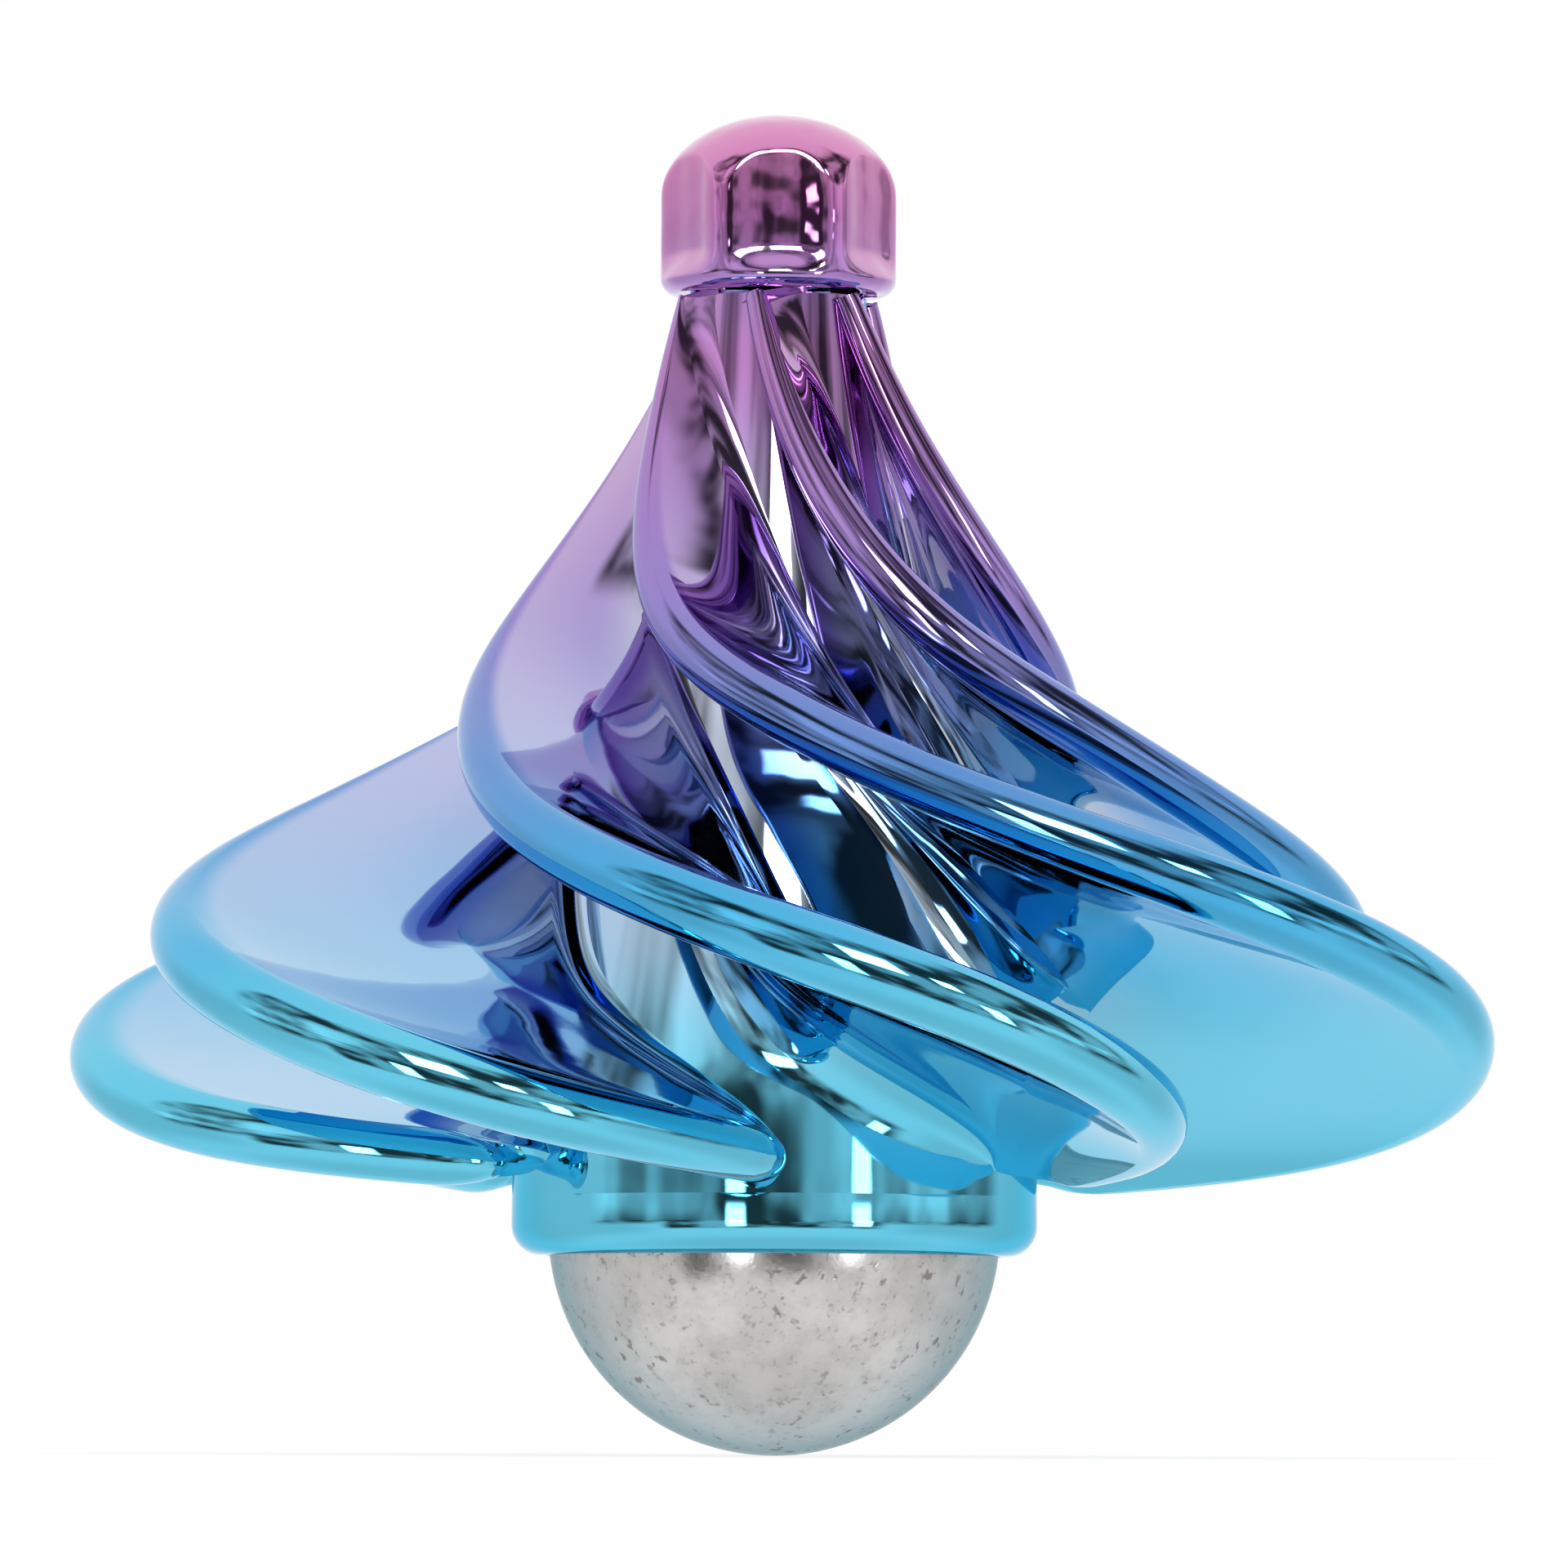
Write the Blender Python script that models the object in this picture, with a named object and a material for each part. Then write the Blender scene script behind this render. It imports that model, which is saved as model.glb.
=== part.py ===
"""Blow-powered spinning top.

Six swept vanes stand in helical slots of a flared hub. A collar under the hub keeps a steel ball
captive, and the hub turns freely on that ball. A six-sided knob plugs the neck and closes the slots.
The top stands upright on its ball, with the origin at the ball's lowest point, +Z up, in metres.
"""

import math

import bmesh
import bpy
from mathutils import Vector

MM = 0.001
GAP = 0.3 * MM

# Ball, a half-inch bearing ball, and the pocket round it
BALL_RADIUS = 6.35 * MM
BALL_CLEARANCE = 0.2 * MM
POCKET_RADIUS = BALL_RADIUS + BALL_CLEARANCE
BALL_SEGMENTS = 32

# Collar under the hub
COLLAR_RADIUS = 7.4 * MM
COLLAR_RIM = 5.45 * MM
COLLAR_TOP = 7.2 * MM
COLLAR_BEAD = 0.8 * MM
BEAD_STEPS = 4
RIM_WALL_STEPS = 3
TURNED_SEGMENTS = 48

# Hub: a skirt, then a trumpet up to the neck, with a bore for the knob's spigot
HUB_BOTTOM = COLLAR_TOP + GAP
HUB_SHOULDER = 9.0 * MM
HUB_TOP = 32.45 * MM
HUB_FLARE = 1.35
NECK_RADIUS = 2.5 * MM
BORE_RADIUS = 1.1 * MM
BORE_DEPTH = 5.5 * MM
POCKET_STEPS = 7
LAND_STEPS = 3

# Slots in the hub, one helix of constant lead for each vane root
VANE_COUNT = 6
VANE_PHASE = math.radians(4.3)
TWIST = math.radians(7.38) / MM
ROOT_TURN_AT_SHOULDER = math.radians(133.5)
TONGUE_DEPTH = 0.5 * MM
TONGUE_RUN_OUT = 11.0 * MM
LEAST_SLOT = 0.02 * MM

# Lip of a vane: radius, height and half thickness at every LIP_STEP of turn, from neck to tail
LIP_START = math.radians(-50)
LIP_STEP = math.radians(25)
LIP_RADII = [value * MM for value in (2.35, 4.15, 6.85, 9.2, 12.55, 17.0, 19.5, 16.2, 6.9)]
LIP_HEIGHTS = [value * MM for value in (33.2, 28.2, 23.45, 20.55, 17.9, 15.1, 12.1, 9.25, 7.95)]
LIP_HALVES = [value * MM for value in (0.35, 0.55, 0.72, 0.78, 0.82, 0.95, 1.0, 0.92, 0.75)]
VANE_TOP_TURN = math.radians(-45)
VANE_TAIL_TURN = math.radians(146)
VANE_SECTIONS = 30
NOSE_TURN = math.radians(4)
NOSE_SHARES = (0.45, 0.75, 0.95)
WEB_HALF = 0.45 * MM
WEB_TO_LIP = 0.8
ACROSS = (0.0, 0.3, 0.6, 0.88)
LIP_ARC_STEPS = 5
TURN_NUDGE = math.radians(0.2)
ACROSS_NUDGE = 0.01

# Knob: six flats, an elliptical dome, and a spigot down into the hub
KNOB_RADIUS = 3.35 * MM
KNOB_BOTTOM = HUB_TOP + GAP
KNOB_TOP = 37.8 * MM
DOME_HEIGHT = 2.4 * MM
KNOB_CORNER = 0.45 * MM
CORNER_STEPS = 2
KNOB_SEGMENTS = 72
DOME_STEPS = 8
FLAT_COUNT = 6
FLAT_DEPTH = 0.42 * MM
SPIGOT_RADIUS = BORE_RADIUS - GAP
SPIGOT_LENGTH = 5.0 * MM


def blend(start, end, share):
    """Value the given share of the way from start to end."""
    return start + (end - start) * share


def ease(value):
    """Smooth step from 0 to 1 for a value that runs from 0 to 1."""
    value = min(max(value, 0.0), 1.0)
    return value * value * (3 - 2 * value)


def polar(radius, angle, height):
    """Point at a radius, an angle about +Z and a height."""
    return Vector((radius * math.cos(angle), radius * math.sin(angle), height))


def along_lip(values, turn):
    """Smooth curve through evenly spaced lip values, read at a turn."""
    position = (turn - LIP_START) / LIP_STEP
    index = min(max(int(position), 0), len(values) - 2)
    share = position - index
    here = values[index]
    following = values[index + 1]
    before = values[index - 1] if index > 0 else 2 * here - following
    after = values[index + 2] if index + 2 < len(values) else 2 * following - here
    slope_here = (following - before) / 2
    slope_following = (after - here) / 2
    rise = ease(share)
    pull_here = share * (1 - share) ** 2
    pull_following = share ** 2 * (share - 1)
    return blend(here, following, rise) + pull_here * slope_here + pull_following * slope_following


def turn_at(height):
    """Turn at which the lip passes a height, found by halving."""
    low = VANE_TOP_TURN
    high = VANE_TAIL_TURN
    for _ in range(40):
        middle = (low + high) / 2
        if along_lip(LIP_HEIGHTS, middle) > height:
            low = middle
        else:
            high = middle
    return (low + high) / 2


def hub_radius(height):
    """Radius of the hub: the skirt up to the shoulder, then a trumpet that narrows to the neck."""
    drop = (HUB_TOP - height) / (HUB_TOP - HUB_SHOULDER)
    return blend(NECK_RADIUS, COLLAR_RADIUS, min(max(drop, 0.0), 1.0) ** HUB_FLARE)


def root_turn(height):
    """Angle of a vane's root, a helix of constant lead."""
    return ROOT_TURN_AT_SHOULDER - TWIST * (height - HUB_SHOULDER)


def root_radius(height):
    """Inner edge of a vane: in its slot, and just outside the skirt at the tail."""
    share = ease((height - HUB_SHOULDER) / (TONGUE_RUN_OUT - HUB_SHOULDER))
    return hub_radius(height) + blend(GAP, -TONGUE_DEPTH, share)


def web_half(turn):
    """Half thickness of a vane at its root."""
    return min(WEB_HALF, WEB_TO_LIP * along_lip(LIP_HALVES, turn))


def sheet_point(turn, across):
    """Middle surface of a vane, ruled level from its root (0) to its lip (1)."""
    height = along_lip(LIP_HEIGHTS, turn)
    radius = blend(root_radius(height), along_lip(LIP_RADII, turn), across)
    angle = blend(root_turn(height), turn, across)
    return polar(radius, angle, height)


def sheet_normal(turn, across):
    """Unit normal of the middle surface, on its upper side."""
    along = sheet_point(turn + TURN_NUDGE, across) - sheet_point(turn - TURN_NUDGE, across)
    outward = sheet_point(turn, across + ACROSS_NUDGE) - sheet_point(turn, across - ACROSS_NUDGE)
    return outward.cross(along).normalized()


def add_object(name, bm, material, parent=None):
    """Turns a bmesh into a named object with a material, on the parent's axis."""
    bmesh.ops.recalc_face_normals(bm, faces=bm.faces)
    mesh = bpy.data.meshes.new(name)
    bm.to_mesh(mesh)
    bm.free()
    mesh.materials.append(material)
    return add_copy(name, mesh, parent)


def add_copy(name, mesh, parent=None, turn=0.0):
    """Places a mesh as an object of its own, turned about the parent's axis."""
    mesh.shade_smooth()
    mesh.set_sharp_from_angle(angle=math.radians(40))
    obj = bpy.data.objects.new(name, mesh)
    bpy.context.scene.collection.objects.link(obj)
    obj.parent = parent
    obj.rotation_euler.z = turn
    return obj


def finish(name, colour, roughness, metallic):
    """Principled material of one colour."""
    material = bpy.data.materials.new(name)
    material.use_nodes = True
    shader = material.node_tree.nodes["Principled BSDF"]
    shader.inputs["Base Color"].default_value = (*colour, 1.0)
    shader.inputs["Roughness"].default_value = roughness
    shader.inputs["Metallic"].default_value = metallic
    return material


def skin(bm, rings):
    """Joins closed rings of equal length with faces and returns their vertices."""
    rows = [[bm.verts.new(point) for point in ring] for ring in rings]
    for lower, upper in zip(rows, rows[1:]):
        for here in range(len(lower)):
            after = (here + 1) % len(lower)
            bm.faces.new((lower[here], lower[after], upper[after], upper[here]))
    return rows


def close_with_point(bm, row, point):
    """Closes a ring with a fan of triangles round one point."""
    middle = bm.verts.new(point)
    for here in range(len(row)):
        bm.faces.new((row[here], row[(here + 1) % len(row)], middle))


def circle(radius, height, angles):
    """Ring of points at one radius and height."""
    return [polar(radius, angle, height) for angle in angles]


def even_angles(count):
    """Evenly spaced angles round a full turn."""
    return [2 * math.pi * index / count for index in range(count)]


def make_ball(material):
    """Bearing ball that the top stands and turns on."""
    bm = bmesh.new()
    bmesh.ops.create_uvsphere(
        bm, u_segments=BALL_SEGMENTS, v_segments=BALL_SEGMENTS // 2, radius=BALL_RADIUS)
    bmesh.ops.translate(bm, verts=bm.verts, vec=(0, 0, BALL_RADIUS))
    return add_object("steel_ball", bm, material)


def pocket_radius(height):
    """Radius of the ball's pocket at a height."""
    return math.sqrt(POCKET_RADIUS ** 2 - (height - BALL_RADIUS) ** 2)


def make_collar(material, axis):
    """Ring with a rounded rim that reaches past the ball's middle and keeps the ball in."""
    angles = even_angles(TURNED_SEGMENTS)
    bead_centre = COLLAR_RADIUS - COLLAR_BEAD
    rings = [circle(COLLAR_RADIUS, COLLAR_TOP, angles)]
    for step in range(BEAD_STEPS + 1):
        swing = math.pi / 2 * step / BEAD_STEPS
        radius = bead_centre + COLLAR_BEAD * math.cos(swing)
        height = COLLAR_RIM + COLLAR_BEAD * (1 - math.sin(swing))
        rings.append(circle(radius, height, angles))
    for step in range(RIM_WALL_STEPS + 1):
        height = blend(COLLAR_RIM, COLLAR_TOP, step / RIM_WALL_STEPS)
        rings.append(circle(pocket_radius(height), height, angles))
    bm = bmesh.new()
    rows = skin(bm, rings)
    for here in range(TURNED_SEGMENTS):
        after = (here + 1) % TURNED_SEGMENTS
        bm.faces.new((rows[-1][here], rows[-1][after], rows[0][after], rows[0][here]))
    return add_object("ball_collar", bm, material, axis)


def slotted_ring(height):
    """Section of the hub at a height: six slots with lands between them, as angle and radius."""
    lowest = along_lip(LIP_HEIGHTS, VANE_TAIL_TURN)
    highest = along_lip(LIP_HEIGHTS, VANE_TOP_TURN)
    clamped = min(max(height, lowest), highest)
    turn = turn_at(clamped)
    outer = hub_radius(height)
    inner = min(root_radius(height) - GAP, outer - LEAST_SLOT)
    sweep = root_turn(clamped) - turn
    reach = along_lip(LIP_RADII, turn) - root_radius(clamped)
    normal = sheet_normal(turn, 0.0)
    tangent = polar(1.0, root_turn(clamped) + math.pi / 2, 0.0)
    half_width = (web_half(turn) + GAP) / abs(normal.dot(tangent))

    def slot_edge(radius, side):
        lag = sweep * (radius - root_radius(clamped)) / reach
        return root_turn(height) - lag + side * half_width / radius

    pitch = 2 * math.pi / VANE_COUNT
    corners = []
    for vane in range(VANE_COUNT):
        offset = VANE_PHASE + pitch * vane
        corners.append((slot_edge(outer, -1) + offset, outer))
        corners.append((slot_edge(inner, -1) + offset, inner))
        corners.append((slot_edge(inner, 1) + offset, inner))
        land_start = slot_edge(outer, 1) + offset
        land_end = slot_edge(outer, -1) + offset + pitch
        for step in range(LAND_STEPS):
            corners.append((blend(land_start, land_end, step / LAND_STEPS), outer))
    return corners


def make_hub(material, axis):
    """Slotted trumpet with the ball's pocket below and the knob's bore above."""
    lip_heights = [along_lip(LIP_HEIGHTS, turn) for turn in vane_turns()]
    inside = [height for height in lip_heights if HUB_SHOULDER + GAP < height < HUB_TOP - GAP]
    heights = [HUB_BOTTOM, HUB_SHOULDER, *sorted(inside), HUB_TOP]
    sections = [slotted_ring(height) for height in heights]
    bottom_angles = [angle for angle, _ in sections[0]]
    top_angles = [angle for angle, _ in sections[-1]]
    rings = []
    mouth_swing = math.asin((HUB_BOTTOM - BALL_RADIUS) / POCKET_RADIUS)
    for step in range(1, POCKET_STEPS + 1):
        swing = blend(math.pi / 2, mouth_swing, step / POCKET_STEPS)
        height = BALL_RADIUS + POCKET_RADIUS * math.sin(swing)
        rings.append(circle(POCKET_RADIUS * math.cos(swing), height, bottom_angles))
    for height, section in zip(heights, sections):
        rings.append([polar(radius, angle, height) for angle, radius in section])
    rings.append(circle(BORE_RADIUS, HUB_TOP, top_angles))
    rings.append(circle(BORE_RADIUS, HUB_TOP - BORE_DEPTH, top_angles))
    bm = bmesh.new()
    rows = skin(bm, rings)
    close_with_point(bm, rows[0], (0, 0, BALL_RADIUS + POCKET_RADIUS))
    close_with_point(bm, rows[-1], (0, 0, HUB_TOP - BORE_DEPTH))
    return add_object("rotor_hub", bm, material, axis)


def vane_turns():
    """Turns at which a vane's sections stand, from neck to the round nose at its tail."""
    last = VANE_SECTIONS - 1
    nose = VANE_TAIL_TURN - NOSE_TURN
    turns = [blend(VANE_TOP_TURN, nose, index / last) for index in range(VANE_SECTIONS)]
    return turns + [nose + NOSE_TURN * share for share in NOSE_SHARES]


def nose_share(turn):
    """Share of its thickness that a vane keeps at a turn: 1, then rounding off at the tail."""
    run = max((turn - VANE_TAIL_TURN) / NOSE_TURN + 1, 0.0)
    return math.sqrt(1 - run ** 2)


def vane_section(turn):
    """Closed section of a vane: upper face out, round the lip, and lower face back to the root."""
    lip_half = along_lip(LIP_HALVES, turn) * nose_share(turn)
    upper = []
    lower = []
    for across in ACROSS:
        half = blend(web_half(turn) * nose_share(turn), lip_half, across ** 3)
        point = sheet_point(turn, across)
        normal = sheet_normal(turn, across)
        upper.append(point + normal * half)
        lower.append(point - normal * half)
    lip = sheet_point(turn, 1.0)
    normal = sheet_normal(turn, 1.0)
    along = sheet_point(turn + TURN_NUDGE, 1.0) - sheet_point(turn - TURN_NUDGE, 1.0)
    outward = along.cross(normal).normalized()
    bead = []
    for step in range(LIP_ARC_STEPS + 1):
        swing = math.pi * (0.5 - step / LIP_ARC_STEPS)
        bead.append(lip + (outward * math.cos(swing) + normal * math.sin(swing)) * lip_half)
    return upper + bead + lower[::-1]


def make_vanes(material, axis):
    """Six like vanes that share one mesh, each in its own slot."""
    bm = bmesh.new()
    rows = skin(bm, [vane_section(turn) for turn in vane_turns()])
    for row in (rows[0], rows[-1]):
        count = len(row)
        for here in range(count // 2 - 1):
            bm.faces.new((row[here], row[here + 1], row[count - 2 - here], row[count - 1 - here]))
        if count % 2:
            bm.faces.new(row[count // 2 - 1:count // 2 + 2])
    first = add_object("vane_1", bm, material, axis)
    first.rotation_euler.z = VANE_PHASE
    for index in range(1, VANE_COUNT):
        turn = VANE_PHASE + 2 * math.pi * index / VANE_COUNT
        add_copy("vane_%d" % (index + 1), first.data, axis, turn)


def knob_outline():
    """Radius and height of the knob, from its foot to just under its crown."""
    shoulder = KNOB_TOP - DOME_HEIGHT
    outline = []
    for step in range(CORNER_STEPS + 1):
        swing = math.pi / 2 * step / CORNER_STEPS
        radius = KNOB_RADIUS - KNOB_CORNER * (1 - math.sin(swing))
        height = KNOB_BOTTOM + KNOB_CORNER * (1 - math.cos(swing))
        outline.append((radius, height))
    for step in range(DOME_STEPS):
        swing = math.pi / 2 * step / DOME_STEPS
        outline.append((KNOB_RADIUS * math.cos(swing), shoulder + DOME_HEIGHT * math.sin(swing)))
    return outline


def flat_radius(angle):
    """Radius of the knob's six flats at an angle; each flat ends in an arch on the dome."""
    pitch = 2 * math.pi / FLAT_COUNT
    offset = angle % pitch - pitch / 2
    return (KNOB_RADIUS - FLAT_DEPTH) / math.cos(offset)


def make_knob(material, axis):
    """Finger knob with six flats and a spigot that plugs the hub's bore."""
    angles = even_angles(KNOB_SEGMENTS)
    rings = [
        circle(SPIGOT_RADIUS, KNOB_BOTTOM - SPIGOT_LENGTH, angles),
        circle(SPIGOT_RADIUS, KNOB_BOTTOM, angles),
    ]
    for radius, height in knob_outline():
        rings.append([polar(min(radius, flat_radius(angle)), angle, height) for angle in angles])
    bm = bmesh.new()
    rows = skin(bm, rings)
    close_with_point(bm, rows[0], (0, 0, KNOB_BOTTOM - SPIGOT_LENGTH))
    close_with_point(bm, rows[-1], (0, 0, KNOB_TOP))
    return add_object("knob_cap", bm, material, axis)


def main():
    for obj in list(bpy.data.objects):
        bpy.data.objects.remove(obj, do_unlink=True)
    axis = bpy.data.objects.new("rotor_axis", None)
    bpy.context.scene.collection.objects.link(axis)
    make_ball(finish("tumbled_steel", (0.60, 0.57, 0.54), 0.30, 1.0))
    make_collar(finish("cyan_plating", (0.10, 0.56, 0.76), 0.08, 1.0), axis)
    make_hub(finish("deep_blue_plating", (0.10, 0.18, 0.42), 0.08, 1.0), axis)
    make_vanes(finish("blue_plating", (0.08, 0.36, 0.66), 0.08, 1.0), axis)
    make_knob(finish("orchid_plating", (0.50, 0.16, 0.42), 0.08, 1.0), axis)


main()
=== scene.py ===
"""Looks of a blow-powered spinning top: mirror-plated vanes, hub, collar and knob on a steel ball."""

import math

import bmesh
import bpy
import numpy as np
from bpy.props import FloatProperty, FloatVectorProperty, IntProperty, PointerProperty
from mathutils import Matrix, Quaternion, Vector


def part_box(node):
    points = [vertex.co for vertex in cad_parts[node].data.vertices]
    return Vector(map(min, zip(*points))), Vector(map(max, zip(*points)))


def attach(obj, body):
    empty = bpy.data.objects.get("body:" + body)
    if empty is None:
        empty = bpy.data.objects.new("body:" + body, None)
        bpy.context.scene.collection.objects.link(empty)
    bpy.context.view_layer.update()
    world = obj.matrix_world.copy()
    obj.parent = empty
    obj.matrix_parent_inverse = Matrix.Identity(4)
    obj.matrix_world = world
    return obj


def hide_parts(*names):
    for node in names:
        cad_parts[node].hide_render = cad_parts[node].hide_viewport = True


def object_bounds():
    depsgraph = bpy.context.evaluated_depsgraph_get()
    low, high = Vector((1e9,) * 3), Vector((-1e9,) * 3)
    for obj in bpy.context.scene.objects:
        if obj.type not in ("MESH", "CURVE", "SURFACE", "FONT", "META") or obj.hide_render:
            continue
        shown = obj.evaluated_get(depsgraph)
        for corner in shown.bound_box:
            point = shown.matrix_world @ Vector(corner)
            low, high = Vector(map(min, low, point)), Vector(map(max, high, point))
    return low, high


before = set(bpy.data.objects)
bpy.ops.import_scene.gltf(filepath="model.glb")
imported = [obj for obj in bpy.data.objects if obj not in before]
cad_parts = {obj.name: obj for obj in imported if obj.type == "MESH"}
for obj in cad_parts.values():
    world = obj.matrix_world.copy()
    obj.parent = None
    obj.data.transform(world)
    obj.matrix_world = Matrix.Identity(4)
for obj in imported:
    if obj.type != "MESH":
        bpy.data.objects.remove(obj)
CAD_BOX = [list(corner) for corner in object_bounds()]

bl_info = {
    "name": "Blow-powered spinning top",
    "version": (1, 0, 0),
    "blender": (4, 5, 0),
    "location": "View3D > Sidebar > Spinning top",
    "description": "Dresses the top's solids with plated vanes, hub, collar, knob and a tumbled ball",
    "category": "Object",
}

MM = 0.001
VANE_NODES = [name for name in sorted(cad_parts) if name.startswith("vane_")]
BALL_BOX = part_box("steel_ball")
COLLAR_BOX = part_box("ball_collar")
HUB_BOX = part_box("rotor_hub")
KNOB_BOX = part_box("knob_cap")

# Lip of a vane: radius, height and half thickness at every LIP_STEP of turn, from neck to tail,
# and the turn of the root at the same height
LIP_START = math.radians(-50)
LIP_STEP = math.radians(25)
LIP_RADII = np.array((2.35, 4.15, 6.85, 9.2, 12.55, 17.0, 19.5, 16.2, 6.9)) * MM
LIP_HEIGHTS = np.array((33.2, 28.2, 23.45, 20.55, 17.9, 15.1, 12.1, 9.25, 7.95)) * MM
LIP_HALVES = np.array((0.35, 0.55, 0.72, 0.78, 0.82, 0.95, 1.0, 0.92, 0.75)) * MM
ROOT_TURNS = np.radians((-45.1, -8.2, 25.0, 46.5, 65.5, 80.0, 99.5, 135.0, 145.5))

# Ends of a vane: turns of its first and last section, and the stretch in which its tail closes
VANE_FIRST = math.radians(-46.5)
VANE_LAST = math.radians(146.0)
TAIL_NOSE = math.radians(5.0)
TAIL_END = 0.02
WEB_OF_LIP = 0.8
LIP_GROWTH = 3

# Fillets of a vane: they fade out towards the tail and take up only part of a short vane
FILLET_END = math.radians(140)
FILLET_FADE = math.radians(40)
LEAST_FADE = 0.05
FILLET_OF_LENGTH = 0.55
FARTHEST_START = 0.6
SHORTEST_VANE = 0.1 * MM
LEAST_ASIDE = 0.35
FOOT_SINK = 0.008 * MM
FOOT_LAP = 0.15 * MM

# Hub between shoulder and neck: radius at every HUB_STEP of height, and its ends past its solid
HUB_STEP = 3.0 * MM
HUB_RADII = np.array((7.65, 7.05, 6.35, 5.55, 4.55, 3.78, 3.2, 2.76, 2.45)) * MM
SHOULDER_SOFTNESS = 0.15 * MM
HUB_LOW = HUB_BOX[0].z - 0.25 * MM
HUB_TOP = HUB_BOX[1].z + 0.15 * MM
POCKET_DEPTH = 5.6 * MM

# Collar: its joint with the hub, and its gaps to the ball at the mouth and inside
BEAD_TOP = 6.5 * MM
BEAD_ROUNDNESS = 0.95
COLLAR_TOP = COLLAR_BOX[1].z + 0.32 * MM
COLLAR_INSET = 0.02 * MM
COLLAR_FLUSH = 0.0005 * MM
COLLAR_ROUNDING = 0.06 * MM
MOUTH_ROUNDING = 0.08 * MM
MOUTH_GAP = 0.05 * MM
POCKET_GAP = 0.12 * MM

# Knob: its foot, the rise in which its flats begin, and the crown that they don't reach
KNOB_BOTTOM = HUB_BOX[1].z + 0.25 * MM
KNOB_CORNER = 0.5 * MM
KNOB_FLATS = 6
TOE_START = 0.25 * MM
TOE_RISE = 0.9 * MM
FLAT_SOFTNESS = 0.05 * MM
CROWN_RADIUS = 1.5 * MM

# Mesh resolution
VANE_ROWS = 150
TAIL_ROWS = 12
VANE_COLUMNS = 24
FILLET_COLUMNS = 12
LIP_COLUMNS = 14
TURNED_SEGMENTS = 256
BALL_ROWS = 97
HUB_ROWS = 120
KNOB_SEGMENTS = 192
KNOB_FOOT_ROWS = 12
KNOB_WALL_ROWS = 20
KNOB_DOME_ROWS = 60
ARC_STEPS = 8
MERGE_DISTANCE = 1e-7
SHARP_ANGLE = math.radians(35)

# Where the plating changes, and where its painted sheen goes: ranges of reach (0 at the hub, 1 at a
# lip), of upward tilt of the surface, of share of the top's height and of facing (0 towards the viewer,
# 1 edge on)
DEEP_REACH = (0.0, 0.5)
SHELTERED_REACH = (0.50, 0.95)
SHELTERED_TILT = (-0.45, -0.05)
SHELTERED_SHARE = (0.34, 0.46)
BARE_FROM_SHARE = (0.24, 0.44)
BARE_TO_SHARE = (0.62, 0.80)
BARENESS = 0.8
LIP_REACH = (0.92, 1.0)
UPWARD_TILT = (-0.15, 0.20)
ABOVE_COLLAR_SHARE = (0.19, 0.26)
# Painted sheen: a paler tint mixed into the base colour of upward faces seen at a glancing angle
SHEEN_FACING = (0.05, 0.60)
SHEEN = 0.9

# Finish of the plating; noise scales are in waves per metre
TINT_CLOUD_SCALE = 260.0
TINT_CLOUD_SHIFT = 0.03
SMUDGE_RANGE = (0.45, 0.75)
SMUDGE_ROUGHNESS = 0.035
PLATING_ROUGHNESS = 0.035
RIPPLE_SCALE = 420.0
RIPPLE_DEPTH = 0.2 * MM
LACQUER = {"Coat Weight": 0.3, "Coat Roughness": 0.02, "Coat IOR": 1.5}

# Finish of the steel: ranges of its noises in which specks, dust and clouds come out
PIT_SPECKS = (0.60, 0.70)
PIT_CLOUDS = (0.36, 0.58)
PIT_STAIN = 0.70
PIT_ROUGHNESS = 0.15
DUST_GRAINS = (0.56, 0.70)
DUST_BLOTCHES = (0.40, 0.60)
DUST_STAIN = 0.34
CLOUDED_BLOTCHES = (0.36, 0.66)
CLOUDED = 0.86
CLOUD_ROUGHNESS = 0.12
STEEL_ROUGHNESS = 0.15
# Facing range of the ball's painted rim of shade and reflection
RIM_FACING = (0.20, 0.90)
GRAIN_RELIEF = 0.5
RELIEF_STRENGTH = 0.25
RELIEF_DEPTH = 0.03 * MM

# Floor and camera: the photograph's view, just above the floor
FLOOR_HALF = 3.0
FLOOR_GLOW = 0.8
AIM = Vector((0.22 * MM, 0.0, 18.9 * MM))
CAMERA_DISTANCE = 330 * MM
CAMERA_ELEVATION = math.radians(-3.1)
CAMERA_ROLL = math.radians(0.25)
LENS = 268.9
SENSOR_WIDTH = 36.0
CLIP_START = 0.01

# Surround that mirrors see, white where nothing else is said: patches as azimuth, elevation,
# half width, half height and soft edge in degrees, with azimuth 0 on the camera's side
DARK_WALL = (14, 28, 98, 34, 6)
DARK_FRONT = (0, 15, 50, 38, 4)
WALL_LEVEL = 0.05
WALL_CLOUDS = 0.60
WALL_CLOUD_SCALE = 2.6
WALL_CLOUD_RANGE = (0.40, 0.64)
HORIZON = (0, 7, 180, 5, 2)
HORIZON_BREAK = (0, 7, 28, 10, 6)
HORIZON_LEVEL = 0.45
LEFT_SIDE = (-100, -12, 40, 24, 15)
RIGHT_SIDE = (100, -12, 40, 24, 15)
SIDE_SHADE = 0.22
NADIR = (math.radians(40), math.radians(75))
NADIR_SHADE = 0.20
SOFT_LIGHT = 1.25

# Dim panels on the dark wall and softboxes, each with its strength
DIM_PANELS = (
    ((-32, 26, 18, 13, 6), 0.40),
    ((-78, 22, 36, 14, 8), 0.20),
)
SOFTBOXES = (
    ((3, 29, 10, 11, 1), 10.0),
    ((31, 25, 4, 5, 1), 10.0),
    ((-17, -9, 4, 8, 1), 5.0),
    ((40, -8, 4, 8, 1), 5.0),
    ((-17, 0, 4, 4, 1), 5.0),
    ((39, 0, 4, 4, 1), 5.0),
)

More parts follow.
